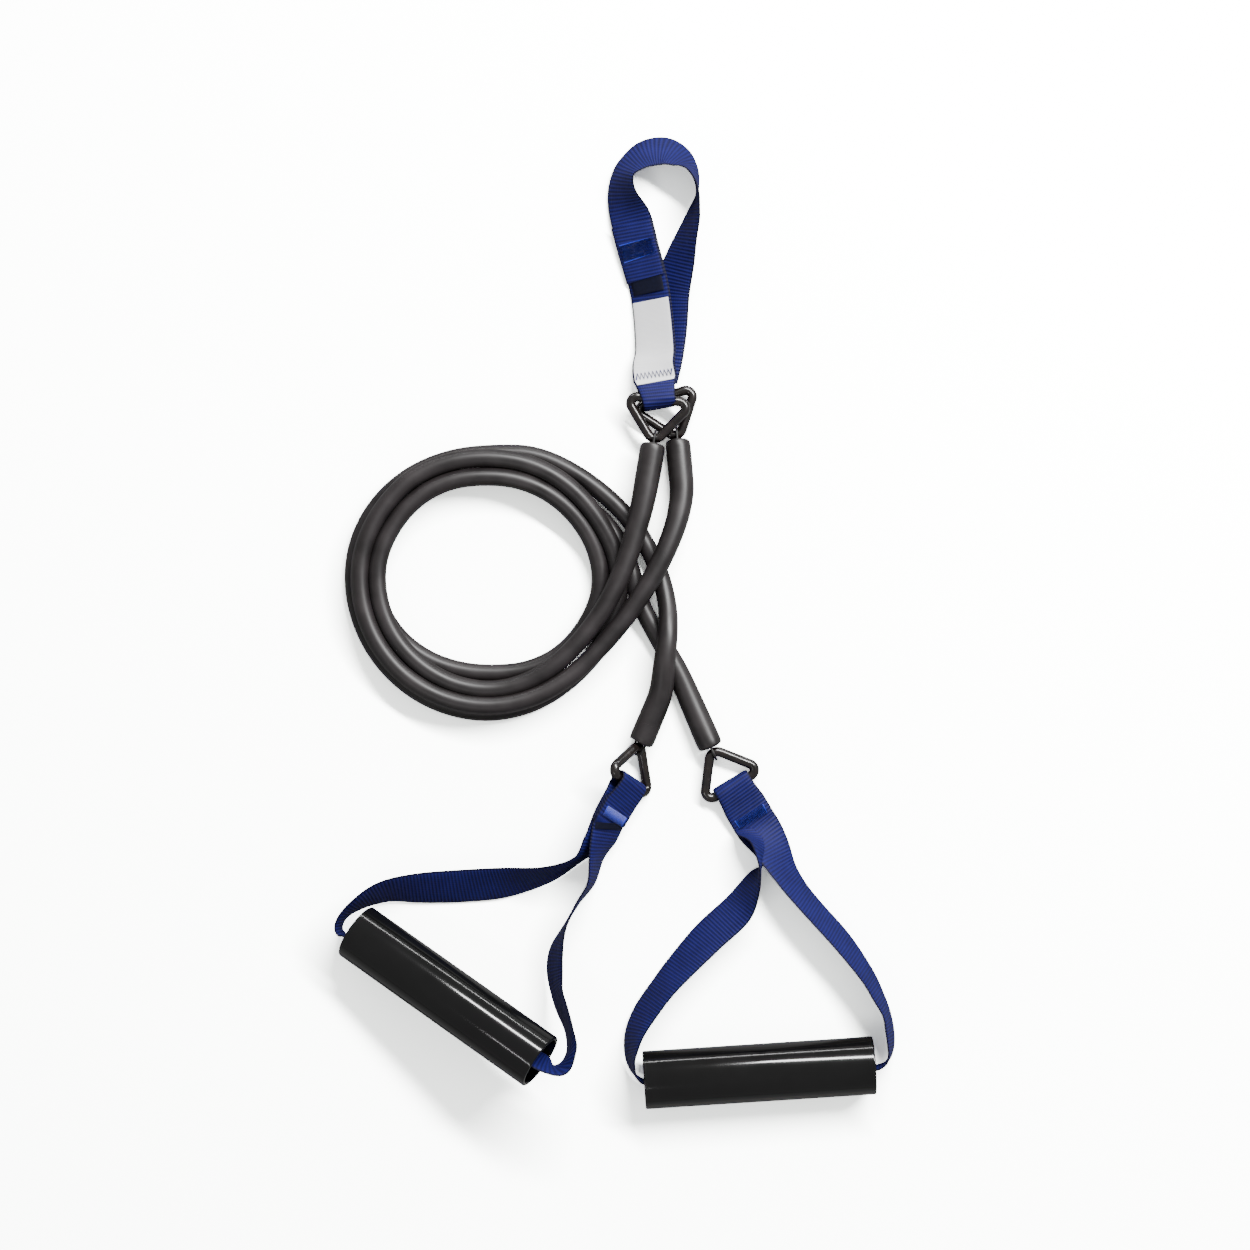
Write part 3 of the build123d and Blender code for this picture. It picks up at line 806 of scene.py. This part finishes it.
# --- Handle straps -------------------------------------------------------------------------
# Each handle strap is one length of the same webbing.  It is folded round the bar of a lower
# ring, sewn into a flat head, and runs in a loop through the hollow grip.
RING_HEIGHT = 0.0227
HEAD_SIDES = (0.0040, 0.0040)
# Distance from the bar, height over it and share of the full width, on each side of the fold.
HEAD_FLATS = [(0.0045, 0.0036, 0.92), (0.0085, 0.0027, 0.95), (0.0130, 0.0018, 1.0),
              (0.0180, 0.0017, 1.0), (0.0225, 0.0016, 1.0)]
HEAD_GATHER = 0.90
# Height of each layer's middle over the middle of the sewn head.
LAYER_HEIGHT = 0.0017
# Distance from the bar and length of what is sewn between and onto the head's two layers.
INNER_END = (0.012, 0.0155)
MELTED_TIP = (0.0272, 0.0016)
TACK_BAND = (0.0175, 0.0058)
OUTER_END_STATIONS = (0.0, 0.42)
HANDLE_STEPS = 8
# The way from each ring's narrow corner to its bar, and the way the left head leaves its bar.
LEFT_AXIS = Vector((-0.244, -0.910, 0.338)).normalized()
RIGHT_AXIS = Vector((0.508, -0.856, -0.092)).normalized()
LEFT_OUT = Vector((-0.490, -0.864, 0.105)).normalized()
# x, y, z in mm and bank in degrees, from the head out, through the grip and back.
LEFT_PATH = [(-4.8, -115.8, 18.3, 135), (-8, -127, 16.4, 125), (-12, -138, 14, 108),
             (-15, -151, 13.5, 100), (-23, -163, 13.5, 94), (-30, -176, 13.5, 88),
             (-35, -190, 13.5, 72), (-36, -202, 14, 68), (-34, -216, 17, 72), (-29, -229, 26, 76),
             (-27, -240, 36, 80), (-28.5, -248.6, 43.8, 80), (-34.5, -254, 48.6, 77),
             (-43.4, -250, 49, 73), (-55, -242.2, 46, 80), (-70, -232.2, 41.4, 90),
             (-125, -195.4, 24.6, 90), (-152.6, -182.4, 16.8, 90), (-158.5, -180.6, 15.6, 88),
             (-160.6, -176, 14.8, 84), (-157.5, -169.5, 14.3, 80), (-149.5, -163, 13.6, 72),
             (-140, -158, 12.5, 62), (-129, -155, 11.5, 54), (-112, -154, 10, 43), (-89, -153, 9, 39),
             (-66, -151, 10, 43), (-40, -146, 13, 65), (-22, -137, 14, 78), (-12, -126, 16.4, 56),
             (-5.9, -115.2, 17.1, 45)]
RIGHT_PATH = [(79.5, -116.6, 1.9, 180), (81, -122, 5, 163), (83.5, -132, 12.5, 118),
              (83, -141, 14, 97), (79, -150, 13, 70), (70, -166, 10, 46), (53, -182, 10, 44),
              (37, -199, 11, 52), (26, -212, 12, 58), (16, -226, 12, 60), (10, -238, 13, 66),
              (8, -249, 14.5, 74), (8.6, -257, 16, 82), (11.5, -262.5, 16.6, 87),
              (17, -265.3, 16.8, 90), (30, -263.4, 16.8, 90), (133, -256.7, 16.8, 90),
              (147.5, -257.2, 16.8, 90), (153, -255.6, 16.8, 87), (156.5, -251.5, 16.2, 82),
              (157.7, -245, 15.3, 78), (157.3, -237, 14.5, 76), (155.5, -227, 13.8, 77),
              (151, -217, 13, 73), (144, -204, 12.6, 69), (130, -185, 12, 63), (113, -166, 12, 62),
              (103, -154, 11.6, 59), (95, -142, 10.6, 50), (88, -129, 7.5, 30), (80.2, -117.5, 3.8, 0)]


def head_frames(bar, out, across, band, steps):
    """Flat frames along the head's middle, from a distance to the bar over a length."""
    start, length = band
    return web_dress([(bar + out * (start + length * i / steps), across) for i in range(steps + 1)])


def handle_strap(name, side, path, axis, out):
    """A closed run of webbing, its bar tack, the end between its layers and the melted edges."""
    body = side + "_handle_strap"
    bar = Vector(APEX["lower_" + side]) + axis * RING_HEIGHT
    run = web_smooth(web_stations(path), HANDLE_STEPS)
    across = Vector(ACROSS["lower_" + side]).normalized()
    if across.dot(run[0][1]) < 0:
        across = -across
    fold = web_fold(bar, out, across, run[0][0], run[-1][0], HEAD_SIDES, HEAD_FLATS, HEAD_GATHER)
    frames = web_dress(run + fold, closed=True)
    strap = web_piece(name, frames, body, blue_webbing, closed=True)
    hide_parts(side + "_strap")
    inner = head_frames(bar, out, across, INNER_END, steps=6)
    tail = web_piece(side + "_strap_inner_end", inner, body, blue_webbing,
                     width=WEB_WIDTH * 0.98, thickness=WEB * 1.1)
    tip = head_frames(bar, out, across, MELTED_TIP, steps=2)
    melted_tip = web_piece(side + "_strap_melted_end", tip, body, melted,
                           width=WEB_WIDTH * 0.99, thickness=WEB * 1.15)
    rows = head_frames(bar, out, across, TACK_BAND, steps=6)
    lift = LAYER_HEIGHT + WEB / 2 + THREAD * 0.8
    front_corners = cross_zigzag(rows, half=0.74, count=46, lift=lift, start=0.0, end=1.0)
    back_corners = cross_zigzag(rows, half=0.74, count=46, lift=-lift, start=0.0, end=1.0)
    front = stitch_row(side + "_tack_front", front_corners, body, tack_thread)
    stitch_row(side + "_tack_back", back_corners, body, tack_thread)
    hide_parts(side + "_strap_bar_tack")
    if side == "left":
        front_leg = web_stretch(web_dress(run), *OUTER_END_STATIONS, HANDLE_STEPS)
        lift = WEB * 0.75 if front_leg[0][2].z > 0 else -WEB * 0.75
        outer_end = web_piece(side + "_strap_outer_end", front_leg, body, melted,
                              width=WEB_WIDTH * 0.9, thickness=WEB * 0.7, offset=lift)


handle_strap("left_handle_webbing", "left", LEFT_PATH, LEFT_AXIS, LEFT_OUT)
handle_strap("right_handle_webbing", "right", RIGHT_PATH, RIGHT_AXIS, RIGHT_AXIS)

# --- Hand grips ----------------------------------------------------------------------------
# A hollow glossy black tube that turns freely on the webbing inside it, with rounded rims.
GRIP_OUT = 0.0167
GRIP_IN = 0.0145
GRIP_SIDES = 96
GRIP_RIM = 0.0009
RIM_STEPS = 4
GRIP_ENDS = {"left": ((-0.1504, -0.1784, 0.0168), (-0.0434, -0.2500, 0.0495)),
             "right": ((0.0154, -0.2643, 0.0168), (0.1481, -0.2557, 0.0168))}

# Glossy moulded black with a faint handling haze and slight ripples.
grip_material = plain_material("grip_gloss_black")
mottled(grip_material, scale=45, detail=8, tones=((0.0018, 0.0018, 0.0018), (0.006, 0.006, 0.006)),
        roughness=(0.08, 0.16))
bumped(grip_material, mottled(grip_material, scale=140), strength=0.03, distance=0.0003)


def grip_piece(side):
    """A hollow tube between its two ends, with rounded rims."""
    start, end = (Vector(p) for p in GRIP_ENDS[side])
    along = (end - start).normalized()
    length = (end - start).length
    level = Vector((0, 0, 1)).cross(along).normalized()
    rise = along.cross(level)
    outer = GRIP_OUT - GRIP_RIM
    inner = GRIP_IN + GRIP_RIM
    far = length - GRIP_RIM
    outline = []
    for reach, depth, first in ((outer, GRIP_RIM, 180), (outer, far, 90),
                                (inner, far, 0), (inner, GRIP_RIM, -90)):
        for i in range(RIM_STEPS + 1):
            angle = radians(first - 90 * i / RIM_STEPS)
            outline.append((reach + GRIP_RIM * sin(angle), depth + GRIP_RIM * cos(angle)))
    build = bmesh.new()
    rings = []
    for reach, depth in outline:
        ring = []
        for i in range(GRIP_SIDES):
            turn = 2 * pi * i / GRIP_SIDES
            round_it = level * (reach * cos(turn)) + rise * (reach * sin(turn))
            ring.append(build.verts.new(start + along * depth + round_it))
        rings.append(ring)
    rings.append(rings[0])
    for before, after in zip(rings, rings[1:]):
        for i in range(GRIP_SIDES):
            j = (i + 1) % GRIP_SIDES
            build.faces.new((before[i], before[j], after[j], after[i]))
    bmesh.ops.recalc_face_normals(build, faces=build.faces)
    mesh = bpy.data.meshes.new(side + "_grip_tube")
    build.to_mesh(mesh)
    build.free()
    mesh.shade_smooth()
    mesh.materials.append(grip_material)
    piece = bpy.data.objects.new(side + "_grip_tube", mesh)
    bpy.context.scene.collection.objects.link(piece)
    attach(piece, side + "_hand_grip")
    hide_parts(side + "_grip")


for side in GRIP_ENDS:
    grip_piece(side)

bpy.context.view_layer.update()
